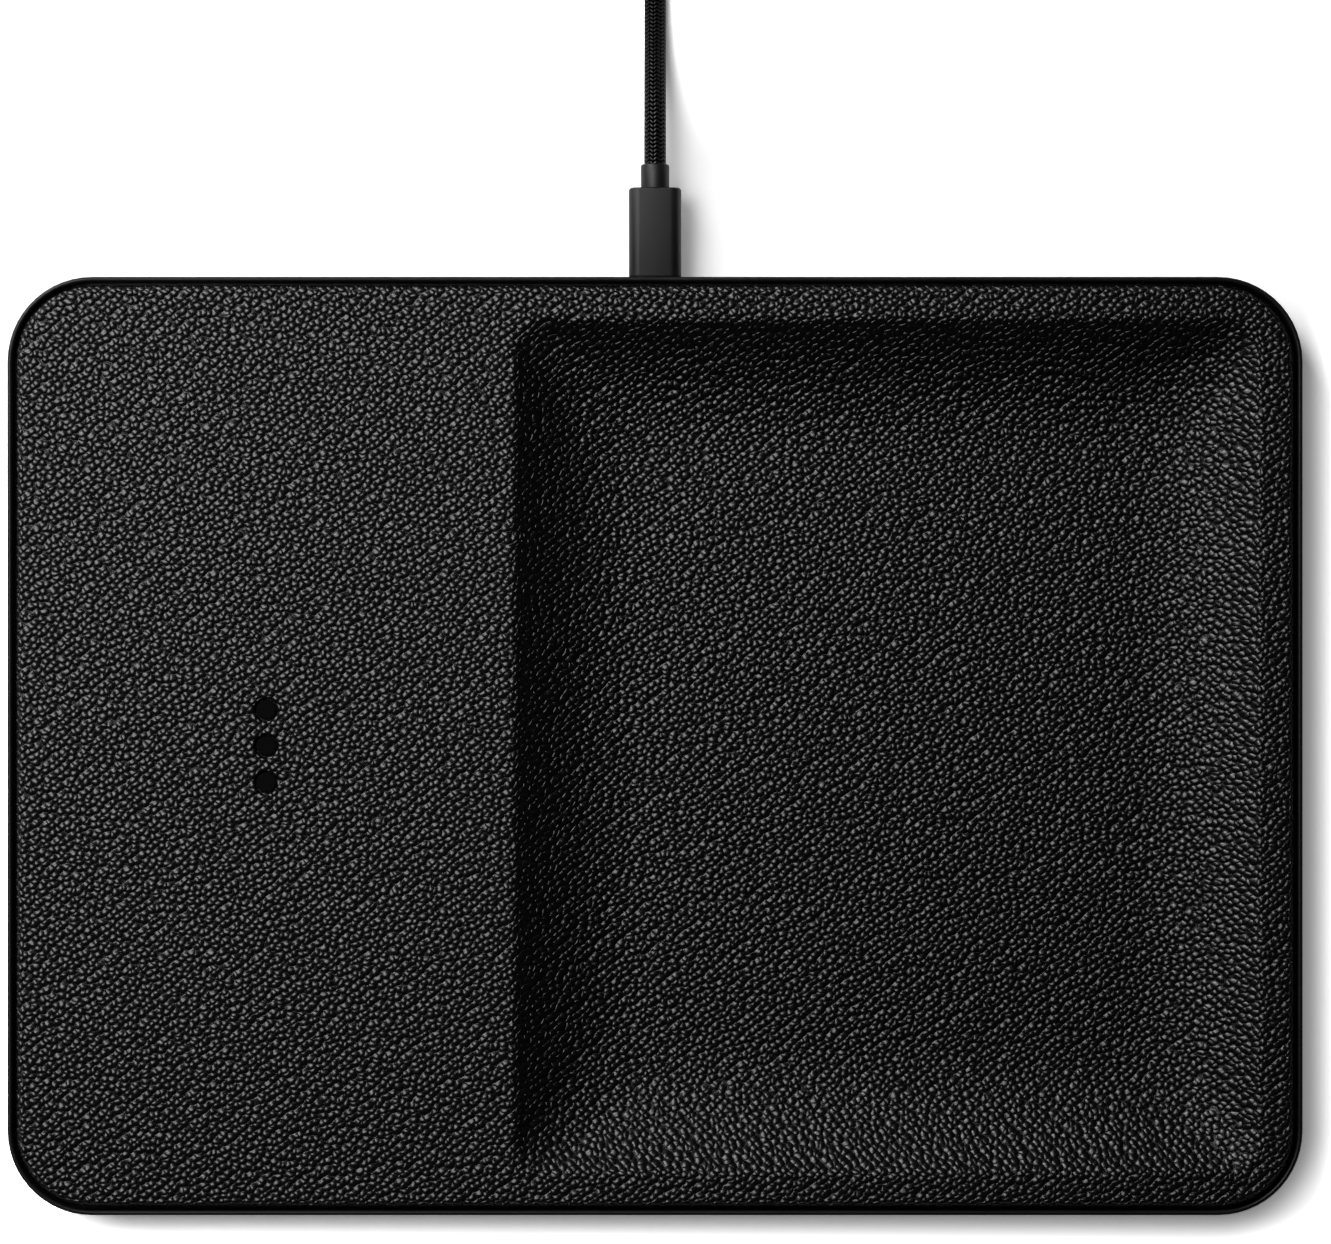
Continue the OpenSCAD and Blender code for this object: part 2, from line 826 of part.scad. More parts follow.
module link_sockets() {
    socket_side = 5;
    rim = 1;
    slot_gap = 0.1;
    color("#d8d4c8")
        for (side = [0, 1])
            translate([link_x[side], link_y[side], board_z])
                mirror([side, 0, 0])
                    difference() {
                        translate([-socket_side + ribbon_in, -ribbon_w / 2 - rim, 0])
                            cube([socket_side, ribbon_w + 2 * rim, 1]);
                        translate([
                            -slot_gap, -ribbon_w / 2 - slot_gap, ribbon_up - slot_gap
                        ])
                            cube([
                                ribbon_in + cut_over, ribbon_w + 2 * slot_gap,
                                ribbon_t + 2 * slot_gap
                            ]);
                    }
}

// Receptacle
tongue_w = 6.7;
tongue_t = 0.7;
tongue_back = 1.2;
block_l = 1.5;
block_gap = 0.05;
module receptacle_shell() {
    color("#b9bbbf")
        difference() {
            upright(mouth_y, port_z, socket_l)
                stadium(socket_w, socket_h);
            upright(mouth_y + cut_over, port_z, socket_l + 2 * cut_over)
                stadium(socket_in_w, socket_in_h);
        }
}
module receptacle_tongue() {
    back_y = mouth_y - socket_l;
    color("#15171b") {
        upright(back_y + block_l, port_z, block_l)
            stadium(socket_in_w - 2 * block_gap, socket_in_h - 2 * block_gap);
        upright(mouth_y - tongue_back, port_z, socket_l - tongue_back)
            square([tongue_w, tongue_t], center = true);
    }
}

module case_screws() {
    color("#9a9ca0")
        at_each(case_screw_at)
            translate([0, 0, case_seat_z])
                screw(case_screw_r, case_screw_l, case_head_r, screw_head_t);
}

// Plugs, drawn with the housing's front face at y = 0, the steel shell forwards and the cord behind
root_l = 4;
root_gap = 0.1;
slot_clear = 0.1;
bevel = 0.7;
module steel_shell() {
    color("#b9bbbf")
        difference() {
            upright(root_l, 0, root_l + plug_shell_l)
                stadium(plug_shell_w, plug_shell_h);
            upright(root_l + cut_over, 0, root_l + plug_shell_l + 2 * cut_over)
                stadium(plug_shell_w - 2 * plug_shell_t, plug_shell_h - 2 * plug_shell_t);
        }
}
module insulator() {
    inner = plug_shell_t + block_gap;
    slot_l = 5;
    color("#101113")
        difference() {
            upright(root_l, 0, root_l + plug_shell_l)
                stadium(plug_shell_w - 2 * inner, plug_shell_h - 2 * inner);
            upright(slot_l - plug_shell_l, 0, slot_l + cut_over)
                square([tongue_w + 2 * slot_clear, tongue_t + 2 * slot_clear], center = true);
        }
}
module housing() {
    color("#1b1c1e")
        difference() {
            upright(housing_l, 0, housing_l)
                rounded_rect(housing_w, housing_h, housing_r);
            upright(root_l + root_gap, 0, root_l + root_gap + cut_over)
                stadium(plug_shell_w + 2 * root_gap, plug_shell_h + 2 * root_gap);
            for (sx = [-1, 1])
                translate([sx * housing_w / 2, housing_l, 0])
                    rotate(45)
                        cube([bevel * sqrt(2), bevel * sqrt(2), 2 * housing_h], center = true);
        }
}
module collar() {
    color("#1b1c1e")
        upright(housing_l + collar_l, 0, collar_l)
            circle(r = collar_d / 2, $fn = 48);
}

// The near plug sits in the port, the far plug lies on the standing surface beside the coil
plug_y = bezel_y + seat_gap;
module at_port() {
    translate([0, plug_y, port_z])
        children();
}
module plug_shell() {
    at_port() steel_shell();
}
module plug_insulator() {
    at_port() insulator();
}
module plug_housing() {
    at_port() housing();
}
module plug_collar() {
    at_port() collar();
}

// Cord. The free stretches' points are chosen by hand: [across, along, up].
cord_r = cord_d / 2;
cord_y = plug_y + housing_l + collar_l;
tie_gap = 0.3;
coil_z = tie_t + tie_gap + cord_r;
coil_y = 192;
lead_route = [
    [0, 0, port_z], [0, 4, port_z], [0, 8, port_z], [0, 12, port_z - 0.3], [0, 16, port_z - 1.1],
    [0, 20, port_z - 2.2], [0, 24, port_z - 3.3], [0, 28, port_z - 4.2], [0, 32, port_z - 4.8],
    [0, 36, port_z - 5], [0, 41, port_z - 5]
];
lead_points = concat(
    [for (p = lead_route) [p[0], cord_y + p[1], p[2]]],
    [
        [0, coil_y - 27, cord_r], [0, coil_y - 22, cord_r + 0.1], [0, coil_y - 18, cord_r + 0.3],
        [0, coil_y - 14, coil_z - 0.2], [0, coil_y - 10, coil_z], [0, coil_y - 6, coil_z]
    ]
);

// The coil: four layers that spiral in and out again, a layer up where the spiral reverses
coil_layers = 4;
coil_pitch = cord_d + cord_gap;
layer_turns = cord_turns / coil_layers;
coil_out_r = cord_mid_r + coil_pitch * layer_turns / 2;
coil_in_r = cord_mid_r - coil_pitch * layer_turns / 2;
coil_centre = [-coil_out_r, coil_y];
straight_l = 6;
function eased(x) = let (c = max(0, min(1, x))) c * c * (3 - 2 * c);
function spiral_r(turn) =
    let (layer = min(floor(turn / layer_turns), coil_layers - 1), f = turn / layer_turns - layer)
    layer % 2 == 0
        ? coil_out_r - (coil_out_r - coil_in_r) * f
        : coil_in_r + (coil_out_r - coil_in_r) * f;
function spiral_z(turn, k = 1) =
    k < coil_layers
        ? coil_pitch * eased(2 * (turn - k * layer_turns) + 0.5) + spiral_z(turn, k + 1)
        : coil_z;
coil_top_z = coil_z + (coil_layers - 1) * coil_pitch;
coil_points = concat(
    [[0, coil_y - straight_l, coil_z], [0, coil_y - straight_l / 2, coil_z]],
    [
        for (i = [0:cord_turns * turn_rings])
            let (turn = i / turn_rings, r = spiral_r(turn), a = 360 * turn)
            [coil_centre[0] + r * cos(a), coil_centre[1] + r * sin(a), spiral_z(turn)]
    ],
    [
        [coil_centre[0] - straight_l / 2, coil_centre[1] + coil_out_r, coil_top_z],
        [coil_centre[0] - straight_l, coil_centre[1] + coil_out_r, coil_top_z]
    ]
);

// The tail runs from the coil's top layer down to the standing surface and ends in the far plug
end_z = max(housing_h, collar_d) / 2;
tail_route = [
    [0, coil_top_z], [4, coil_top_z], [8, coil_top_z - 0.6], [12, coil_top_z - 1.9],
    [16, coil_top_z - 3.6], [20, coil_top_z - 5.6], [24, coil_top_z - 7.7], [28, coil_top_z - 9.7],
    [32, coil_top_z - 11.5], [36, coil_top_z - 13], [40, coil_top_z - 14.1],
    [44, coil_top_z - 14.8], [49, end_z], [54, end_z], [60, end_z]
];
tail_l = 60;
tail_points = [
    for (p = tail_route)
        [coil_centre[0] - straight_l - p[0], coil_centre[1] + coil_out_r, p[1]]
];

module cord_lead() {
    color("#151516")
        tube(lead_points, cord_d, 10);
}
module cord_coil() {
    color("#151516")
        tube(coil_points, cord_d, 6);
}
module cord_tail() {
    color("#151516")
        tube(tail_points, cord_d, 10);
}

// Tie: a strap round the bundle of turns on the coil's left side
module cord_tie() {
    in_r = coil_in_r - coil_pitch / 4 - cord_r - 2 * tie_gap;
    out_r = coil_out_r + coil_pitch / 4 + cord_r + tie_gap;
    high = coil_top_z + cord_r + tie_gap + tie_t;
    color("#232325")
        translate([coil_centre[0] - (in_r + out_r) / 2, coil_centre[1] + tie_w / 2, high / 2])
            rotate([90, 0, 0])
                linear_extrude(tie_w)
                    difference() {
                        rounded_rect(out_r - in_r + 2 * tie_t, high, 2);
                        rounded_rect(out_r - in_r, high - 2 * tie_t, 2 - tie_t);
                    }
}

module at_end() {
    translate([
        coil_centre[0] - straight_l - tail_l - housing_l - collar_l,
        coil_centre[1] + coil_out_r, end_z
    ])
        rotate(-90)
            children();
}
module end_collar() {
    at_end() collar();
}
module end_housing() {
    at_end() housing();
}
module end_shell() {
    at_end() steel_shell();
}
module end_insulator() {
    at_end() insulator();
}

echo(str("Least gap in the charging coil: ", least_gap(wire_path, 12) - wire_d, " mm"));
echo(str("Least gap in the cord's coil: ", least_gap(coil_points, 12) - cord_d, " mm"));
echo(str(
    "Cord's length: ", line_length(lead_points) + line_length(coil_points) + line_length(tail_points),
    " mm"
));

base_shell();
foot_mat();
port_bezel();
top_core();
leather_cover();
marker_back();
marker_middle();
marker_front();
charging_coil();
ferrite_shield();
coil_bracket();
bracket_screws();
thermistor();
circuit_board();
board_screws();
controller_chip();
driver_chips();
power_inductor();
resonant_capacitors();
port_board();
port_screws();
link_sockets();
link_ribbon();
receptacle_shell();
receptacle_tongue();
case_screws();
plug_shell();
plug_insulator();
plug_housing();
plug_collar();
cord_lead();
cord_coil();
cord_tail();
cord_tie();
end_collar();
end_housing();
end_shell();
end_insulator();
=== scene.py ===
import math

import bmesh
import bpy
from mathutils import Matrix, Vector
from mathutils.geometry import convex_hull_2d


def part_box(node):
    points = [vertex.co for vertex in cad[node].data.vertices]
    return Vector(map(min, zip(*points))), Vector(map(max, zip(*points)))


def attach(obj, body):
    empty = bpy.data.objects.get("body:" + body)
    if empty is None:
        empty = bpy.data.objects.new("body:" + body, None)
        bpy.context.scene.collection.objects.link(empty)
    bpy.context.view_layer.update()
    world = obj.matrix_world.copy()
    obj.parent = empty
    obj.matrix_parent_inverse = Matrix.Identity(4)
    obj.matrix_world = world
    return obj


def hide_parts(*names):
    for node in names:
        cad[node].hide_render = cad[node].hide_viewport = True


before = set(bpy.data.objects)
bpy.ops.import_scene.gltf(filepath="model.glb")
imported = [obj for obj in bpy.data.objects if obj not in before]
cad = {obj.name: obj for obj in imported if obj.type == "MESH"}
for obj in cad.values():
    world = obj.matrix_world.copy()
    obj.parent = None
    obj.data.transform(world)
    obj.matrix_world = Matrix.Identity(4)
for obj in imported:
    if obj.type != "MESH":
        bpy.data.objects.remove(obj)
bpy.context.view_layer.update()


# ---------------------------------------------------------------- Camera
# A camera 1.2 m above the rim looks straight down with the tray's back at the top.
# The frame is 267 mm wide at the rim, which leaves a thin margin on both sides of the tray.
sensor = 36
camera_up = 1.2
framed_width = 0.2671
rim_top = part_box("base_shell")[1].z
lens = bpy.data.cameras.new("overhead_camera")
lens.sensor_width = sensor
lens.lens = sensor * camera_up / framed_width
camera = bpy.data.objects.new("overhead_camera", lens)
camera.location = (0.0021, 0.0249, rim_top + camera_up)
bpy.context.collection.objects.link(camera)
bpy.context.scene.camera = camera


# ---------------------------------------------------------------- Studio
# A white table under a large softbox at the upper left; a second one, low down behind it,
# grazes the grain. For the camera the lit table clips to white and the shadow stays, faded out by a
# painted glow round the tray's front and right side.
bpy.context.scene.view_settings.view_transform = "Standard"


def wired(tree, kind, feeds=None, **settings):
    """Adds a shader node; feeds gives its sockets a value or the socket that drives them."""
    made = tree.nodes.new("ShaderNode" + kind)
    for name, value in settings.items():
        setattr(made, name, value)
    for socket, value in (feeds or {}).items():
        if isinstance(value, bpy.types.NodeSocket):
            tree.links.new(value, made.inputs[socket])
        else:
            made.inputs[socket].default_value = value
    return made


def math_of(tree, operation, *values):
    return wired(tree, "Math", dict(enumerate(values)), operation=operation).outputs[0]


def ranged(tree, value, low, high, to_low=0.0, to_high=1.0):
    feeds = {"Value": value, "From Min": low, "From Max": high, "To Min": to_low,
             "To Max": to_high}
    return wired(tree, "MapRange", feeds, interpolation_type="SMOOTHSTEP").outputs["Result"]


def softbox(name, place, aim, size, spread, power):
    data = bpy.data.lights.new(name, "AREA")
    data.shape = "SQUARE"
    data.size = size
    data.spread = math.radians(spread)
    data.energy = power
    lamp = bpy.data.objects.new(name, data)
    lamp.location = place
    lamp.rotation_mode = "QUATERNION"
    lamp.rotation_quaternion = (Vector(aim) - Vector(place)).to_track_quat("-Z", "Y")
    bpy.context.collection.objects.link(lamp)


softbox("key_softbox", (-0.42, 0.32, 0.63), (-0.22, 0.17, 0), 0.6, 60, 1.3)
softbox("grazing_softbox", (-0.58, 0.68, 0.44), (0, 0.02, 0), 0.6, 48, 0.95)

world = bpy.data.worlds.new("studio")
bpy.context.scene.world = world
world.use_nodes = True
world.node_tree.nodes.clear()
sky = world.node_tree
direction = wired(sky, "TexCoord").outputs["Generated"]
height = wired(sky, "SeparateXYZ", {"Vector": direction}).outputs["Z"]
horizon = ranged(sky, height, 0.0, 0.07, 0.6, 0.015)
room = wired(sky, "Background", {"Color": horizon, "Strength": 1})
backdrop = wired(sky, "Background", {"Color": (1, 1, 1, 1), "Strength": 1})
seen = wired(sky, "LightPath").outputs["Is Camera Ray"]
both = wired(sky, "MixShader", {0: seen, 1: room.outputs[0], 2: backdrop.outputs[0]})
wired(sky, "OutputWorld", {"Surface": both.outputs[0]})

table_mat = bpy.data.materials.new("white_table")
table_mat.use_nodes = True
table_mat.node_tree.nodes.clear()
tree = table_mat.node_tree
paint = wired(tree, "BsdfDiffuse", {"Color": (0.8, 0.8, 0.8, 1)})
white = wired(tree, "BsdfDiffuse", {"Color": (1, 1, 1, 1)})
spot = wired(tree, "TexCoord").outputs["Object"]
across, along, _ = wired(tree, "SeparateXYZ", {"Vector": spot}).outputs
# For the camera the paint is lifted where the light falls off, so that all of it clips
lift = math_of(tree, "ADD", ranged(tree, along, 0.12, -0.09, 0.85, 3.0),
               ranged(tree, across, -0.05, 0.14, 0.0, 0.35))
# Painted light: the paint is lifted further along the back edge, over the coil's shadow
lift = math_of(tree, "ADD", lift, ranged(tree, along, 0.118, 0.150, 0.0, 1.4))
lifted = wired(tree, "BsdfDiffuse", {"Color": lift})
# Painted light: for the camera a glow on the table rises round the tray's front and right side, so
# the shadow fades out over 10 mm
corner = wired(tree, "VectorMath", {0: spot, 1: (1, -1, 0), 2: (-0.113, -0.0772, 0)},
               operation="MULTIPLY_ADD").outputs[0]
corner = wired(tree, "VectorMath", {0: corner, 1: (0, 0, 0)}, operation="MAXIMUM").outputs[0]
outside = wired(tree, "VectorMath", {0: corner}, operation="LENGTH").outputs["Value"]
away = wired(tree, "VectorMath", {0: spot}, operation="LENGTH").outputs["Value"]
glow = math_of(tree, "MAXIMUM", ranged(tree, outside, 0.0185, 0.0275, 0.2, 1.0),
               ranged(tree, away, 0.28, 0.45, 0.2, 1.0))
glow = wired(tree, "Emission", {"Strength": glow})
clipped = wired(tree, "AddShader", {0: lifted.outputs[0], 1: glow.outputs[0]})
rays = wired(tree, "LightPath").outputs
mirrored = math_of(tree, "MAXIMUM", rays["Is Glossy Ray"], rays["Is Transmission Ray"])
table_top = wired(tree, "MixShader", {0: mirrored, 1: paint.outputs[0], 2: white.outputs[0]})
table_top = wired(tree, "MixShader", {0: rays["Is Camera Ray"], 1: table_top.outputs[0],
                                      2: clipped.outputs[0]})
wired(tree, "OutputMaterial", {"Surface": table_top.outputs[0]})

bm = bmesh.new()
bmesh.ops.create_grid(bm, x_segments=1, y_segments=1, size=4)
table = bpy.data.meshes.new("table")
bm.to_mesh(table)
bm.free()
table.materials.append(table_mat)
table = bpy.data.objects.new("table", table)
bpy.context.collection.objects.link(table)


# ---------------------------------------------------------------- Cord
# A 4.4 mm cable in a black nylon braid, 1.8 m long. It leaves the plug's collar, drops to the
# table, is wound into a coil of four layers behind the tray, and ends in the second plug.
cord_d = 4.4
cord_sides = 16
cord_step = 1.2
port_z = 7.2
cord_start = 117.5
coil_low = 3.1
coil_y = 192.0
coil_out = 30.2906
coil_in = 16.5094
layers = 4
layer_turns = 2.8125
layer_up = 4.9
turn_steps = 120
end_z = 2.875
lead = [(0, cord_start + y, z) for y, z in [
    (0, 7.2), (4, 7.2), (8, 7.2), (12, 6.9), (16, 6.1), (20, 5.0), (24, 3.9), (28, 3.0),
    (32, 2.4), (36, 2.2), (41, 2.2), (47.5, 2.2), (52.5, 2.3), (56.5, 2.5), (60.5, 2.9),
    (64.5, 3.1), (68.5, 3.1), (71.5, 3.1)]]
tail = [(-coil_out - 6 - x, coil_y + coil_out, z) for x, z in [
    (-3, 17.8), (0, 17.8), (4, 17.8), (8, 17.2), (12, 15.9), (16, 14.2), (20, 12.2), (24, 10.1),
    (28, 8.1), (32, 6.3), (36, 4.8), (40, 3.7), (44, 3.0), (49, 2.875), (54, 2.875),
    (60, 2.875)]]


def eased(x):
    x = max(0.0, min(1.0, x))
    return x * x * (3 - 2 * x)


def coil_point(turn):
    """A point of the coil: the spiral runs in, up a layer, out, up a layer, and so on."""
    layer = min(int(turn / layer_turns), layers - 1)
    share = turn / layer_turns - layer
    share = share if layer % 2 == 0 else 1 - share
    r = coil_out + (coil_in - coil_out) * share
    z = coil_low + layer_up * sum(
        eased(2 * (turn - k * layer_turns) + 0.5) for k in range(1, layers))
    a = 2 * math.pi * turn
    return (-coil_out + r * math.cos(a), coil_y + r * math.sin(a), z)


def smooth_run(points, before, after):
    """Points about cord_step apart on one smooth curve through the given ones."""
    knots = [Vector(p) for p in [before, *points, after]]
    run = []
    for a, b, c, d in zip(knots, knots[1:], knots[2:], knots[3:]):
        steps = max(1, round((c - b).length / cord_step))
        for k in range(steps):
            t = k / steps
            run.append(0.5 * (2 * b + (c - a) * t + (2 * a - 5 * b + 4 * c - d) * t * t
                              + (3 * b - a - 3 * c + d) * t ** 3))
    run.append(knots[-2])
    return run


turns = layers * layer_turns
coil = [Vector(coil_point(k / turn_steps)) for k in range(round(turns * turn_steps) + 1)]
route = (smooth_run([*lead, coil[0]], (0, cord_start - 4, port_z), coil[4])[:-1] + coil
         + smooth_run([coil[-1], *tail], coil[-5], (tail[-1][0] - 4, tail[-1][1], end_z))[1:])
route = [Vector((p.x, p.y, max(p.z, cord_d / 2))) * 0.001 for p in route]


def tube(route, diameter, sides):
    """A closed tube along a route, with U round it and V along it in metres."""
    bm = bmesh.new()
    bm.loops.layers.uv.new("along")
    last = len(route) - 1
    bmesh.ops.create_grid(bm, x_segments=sides, y_segments=last, size=1)
    headings, sideways, reach = [], [], [0.0]
    for k in range(last + 1):
        headings.append((route[min(k + 1, last)] - route[max(k - 1, 0)]).normalized())
        across = sideways[-1] if sideways else Vector((1, 0, 0))
        across = across - headings[k] * across.dot(headings[k])
        sideways.append(across.normalized())
        if k:
            reach.append(reach[-1] + (route[k] - route[k - 1]).length)
    uv = bm.loops.layers.uv.active
    for face in bm.faces:
        for loop in face.loops:
            x, y = loop.vert.co.xy
            loop[uv].uv = ((x + 1) / 2, reach[round((y + 1) / 2 * last)])
    for vert in bm.verts:
        around = math.pi * (vert.co.x + 1)
        k = round((vert.co.y + 1) / 2 * last)
        up = sideways[k].cross(headings[k])
        vert.co = route[k] + (sideways[k] * math.cos(around) + up * math.sin(around)) * diameter / 2
    bmesh.ops.remove_doubles(bm, verts=bm.verts, dist=1e-6)
    bmesh.ops.holes_fill(bm, edges=[e for e in bm.edges if e.is_boundary], sides=sides)
    bmesh.ops.recalc_face_normals(bm, faces=bm.faces)
    return bm


def finish_piece(name, bm, material, body, replaced=(), crease=40):
    """Makes a shaped mesh a named piece that rides on a body and replaces CAD nodes."""
    mesh = bpy.data.meshes.new(name)
    bm.to_mesh(mesh)
    bm.free()
    mesh.shade_smooth()
    mesh.set_sharp_from_angle(angle=math.radians(crease))
    mesh.materials.append(material)
    piece = bpy.data.objects.new(name, mesh)
    bpy.context.collection.objects.link(piece)
    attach(piece, body)
    if replaced:
        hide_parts(*replaced)
    return piece


def finish_of(name, **sockets):
    """A material with its plain values set on its shader; returns material, tree and shader."""
    material = bpy.data.materials.new(name)
    material.use_nodes = True
    shader = material.node_tree.nodes["Principled BSDF"]
    for socket, value in sockets.items():
        shader.inputs[socket.replace("_", " ")].default_value = value
    return material, material.node_tree, shader


def toned(tree, mask, dark, light):
    """A colour between two, by a mask."""
    mix = wired(tree, "Mix", {"Factor": mask}, data_type="RGBA")
    mix.inputs["A"].default_value = (*dark, 1)
    mix.inputs["B"].default_value = (*light, 1)
    return mix.outputs["Result"]


# Braid: yarns lie in V-shaped ribs; the ribs follow the cord, two columns to a V
yarn_columns = 18
yarn_pitch = 0.00083
yarn_slant = 0.65
braid, tree, shader = finish_of("nylon_braid", Specular_IOR_Level=0.4)
across_along = wired(tree, "SeparateXYZ", {
    "Vector": wired(tree, "TexCoord").outputs["UV"]}).outputs
column = math_of(tree, "MULTIPLY", across_along["X"], yarn_columns)
zigzag = math_of(tree, "PINGPONG", column, 1.0)
phase = math_of(tree, "MULTIPLY_ADD", zigzag, yarn_slant,
                math_of(tree, "DIVIDE", across_along["Y"], yarn_pitch))
yarn = math_of(tree, "ABSOLUTE", math_of(tree, "SINE", math_of(tree, "MULTIPLY", phase, math.pi)))
rib = math_of(tree, "PINGPONG", column, 0.5)
rib = ranged(tree, rib, 0.0, 0.22)
relief = math_of(tree, "MULTIPLY", yarn, rib)
fibre = wired(tree, "TexNoise", {"Vector": wired(tree, "TexCoord").outputs["Object"],
                                 "Scale": 2600.0, "Detail": 2.0}).outputs["Fac"]
relief = math_of(tree, "MULTIPLY_ADD", fibre, 0.25, relief)
bump = wired(tree, "Bump", {"Height": relief, "Strength": 1.0, "Distance": 0.00016})
tree.links.new(bump.outputs["Normal"], shader.inputs["Normal"])
# Painted shade: the base colour is darker in the gaps between yarns and between ribs, where shade
# falls
tree.links.new(toned(tree, relief, (0.0004, 0.0004, 0.0004), (0.0024, 0.0024, 0.0025)),
               shader.inputs["Base Color"])
tree.links.new(ranged(tree, relief, 0.3, 0.95, 0.9, 0.3), shader.inputs["Roughness"])
# Painted shade: the gaps between yarns are made a near-black metal, so they swallow the light as
# the shade between the yarns would
tree.links.new(ranged(tree, relief, 0.95, 0.6), shader.inputs["Metallic"])

cord = finish_piece("braided_cord", tube(route, cord_d * 0.001, cord_sides), braid,
                    "cord", ("cord_lead", "cord_coil", "cord_tail"))


# ---------------------------------------------------------------- Plugs
# Both ends have the same slim aluminium housing, anodised black, over a round collar that is
# crimped on the braid. The steel shell and its insulator are the CAD's own parts.
housing_w, housing_h, housing_l, housing_r = 10.6, 5.2, 18.0, 2.3
collar_d, collar_l = 5.75, 4.8
housing_edge = 0.25
rear_bevel = 0.4


def round_rect(half_w, half_h, r, steps):
    """Outline points of a rectangle with round corners, anticlockwise."""
    points = []
    for quarter, (sx, sy) in enumerate([(1, 1), (-1, 1), (-1, -1), (1, -1)]):
        for k in range(steps + 1):
            a = math.pi / 2 * (quarter + k / steps)
            points.append((sx * (half_w - r) + r * math.cos(a),
                           sy * (half_h - r) + r * math.sin(a)))
    return points


def ring_of(bm, points):
    """A closed ring of edges through the points."""
    verts = [bm.verts.new(p) for p in points]
    return [bm.edges.new((a, b)) for a, b in zip(verts, verts[1:] + verts[:1])]


def lofted(bm, rings, cap_first=True, cap_last=True):
    """Joins each ring to the next and closes the ends; returns the ring edges."""
    loops = [ring_of(bm, ring) for ring in rings]
    for a, b in zip(loops, loops[1:]):
        bmesh.ops.bridge_loops(bm, edges=a + b)
    for loop, cap in ((loops[0], cap_first), (loops[-1], cap_last)):
        if cap:
            bmesh.ops.edgeloop_fill(bm, edges=loop)
    return loops


def placed(bm, place, turn=0.0):
    """Recalculates the faces' sides and moves a mesh that is in millimetres into place."""
    bmesh.ops.recalc_face_normals(bm, faces=bm.faces)
    where = (Matrix.Translation(place) @ Matrix.Rotation(turn, 4, "Z") @ Matrix.Scale(0.001, 4))
    bmesh.ops.transform(bm, matrix=where, verts=bm.verts)
    return bm


def housing():
    """The plug's housing, its front face at y = 0 and its cord side at +y."""
    rings = []
    arc = [math.pi / 2 * k / 4 for k in range(5)]
    for a in arc:
        inset = housing_edge * (1 - math.sin(a))
        rings.append((housing_edge * (1 - math.cos(a)), inset, inset))
    rings.append((housing_l - rear_bevel, 0, 0))
    for a in arc:
        inset = housing_edge * (1 - math.cos(a))
        y = housing_l - housing_edge * (1 - math.sin(a))
        rings.append((y, max(inset, y - housing_l + rear_bevel), inset))
    bm = bmesh.new()
    lofted(bm, [[(x * (1 - side / housing_w * 2), y, z * (1 - high / housing_h * 2))
                 for x, z in round_rect(housing_w / 2, housing_h / 2, housing_r, 8)]
                for y, side, high in rings])
    return bm


def collar():
    """The crimped collar behind the housing: a turned part with softened ends."""
    r, edge = collar_d / 2, 0.45
    bm = bmesh.new()
    profile = [(0, r), (collar_l - edge, r), (collar_l - edge * 0.3, r - edge * 0.3),
               (collar_l, r - edge), (collar_l, cord_d / 2 - 0.1)]
    line = [bm.verts.new((radius, housing_l + y, 0)) for y, radius in profile]
    edges = [bm.edges.new(pair) for pair in zip(line, line[1:])]
    bmesh.ops.spin(bm, geom=line + edges, cent=(0, 0, 0), axis=(0, 1, 0), angle=2 * math.pi,
                   steps=48, use_merge=True)
    bmesh.ops.remove_doubles(bm, verts=bm.verts, dist=1e-4)
    bmesh.ops.holes_fill(bm, edges=[e for e in bm.edges if e.is_boundary], sides=0)
    return bm


def grain_group():
    """Fine moulding or blasting grain with faint large patches of wear, for metal and plastic."""
    group = bpy.data.node_groups.new("fine_grain", "ShaderNodeTree")
    for name, kind, way in (("Vector", "NodeSocketVector", "INPUT"),
                            ("Fineness", "NodeSocketFloat", "INPUT"),
                            ("Patch", "NodeSocketFloat", "OUTPUT"),
                            ("Grain", "NodeSocketFloat", "OUTPUT")):
        group.interface.new_socket(name, in_out=way, socket_type=kind)
    given = group.nodes.new("NodeGroupInput").outputs
    patch = wired(group, "TexNoise", {"Vector": given["Vector"], "Scale": 55.0, "Detail": 4.0,
                                      "Roughness": 0.62}).outputs["Fac"]
    grain = wired(group, "TexNoise", {"Vector": given["Vector"], "Scale": given["Fineness"],
                                      "Detail": 3.0, "Roughness": 0.6}).outputs["Fac"]
    out = group.nodes.new("NodeGroupOutput")
    group.links.new(ranged(group, patch, 0.3, 0.7), out.inputs["Patch"])
    group.links.new(grain, out.inputs["Grain"])
    return group


fine_grain = grain_group()


def grained(name, dark, light, smooth, rough, fineness=2500.0, depth=0.00003, **sockets):
    """A finish whose colour and roughness vary by patch and grain, with a fine bump."""
    material, tree, shader = finish_of(name, **sockets)
    grain = tree.nodes.new("ShaderNodeGroup")
    grain.node_tree = fine_grain
    grain.inputs["Fineness"].default_value = fineness
    tree.links.new(wired(tree, "TexCoord").outputs["Object"], grain.inputs["Vector"])
    spread = math_of(tree, "MULTIPLY_ADD", grain.outputs["Patch"], 0.6,
                     math_of(tree, "MULTIPLY", grain.outputs["Grain"], 0.4))
    tree.links.new(toned(tree, spread, dark, light), shader.inputs["Base Color"])
    tree.links.new(ranged(tree, spread, 0.0, 1.0, smooth, rough), shader.inputs["Roughness"])
    bump = wired(tree, "Bump", {"Height": grain.outputs["Grain"], "Strength": 0.6,
                                "Distance": depth})
    tree.links.new(bump.outputs["Normal"], shader.inputs["Normal"])
    return material


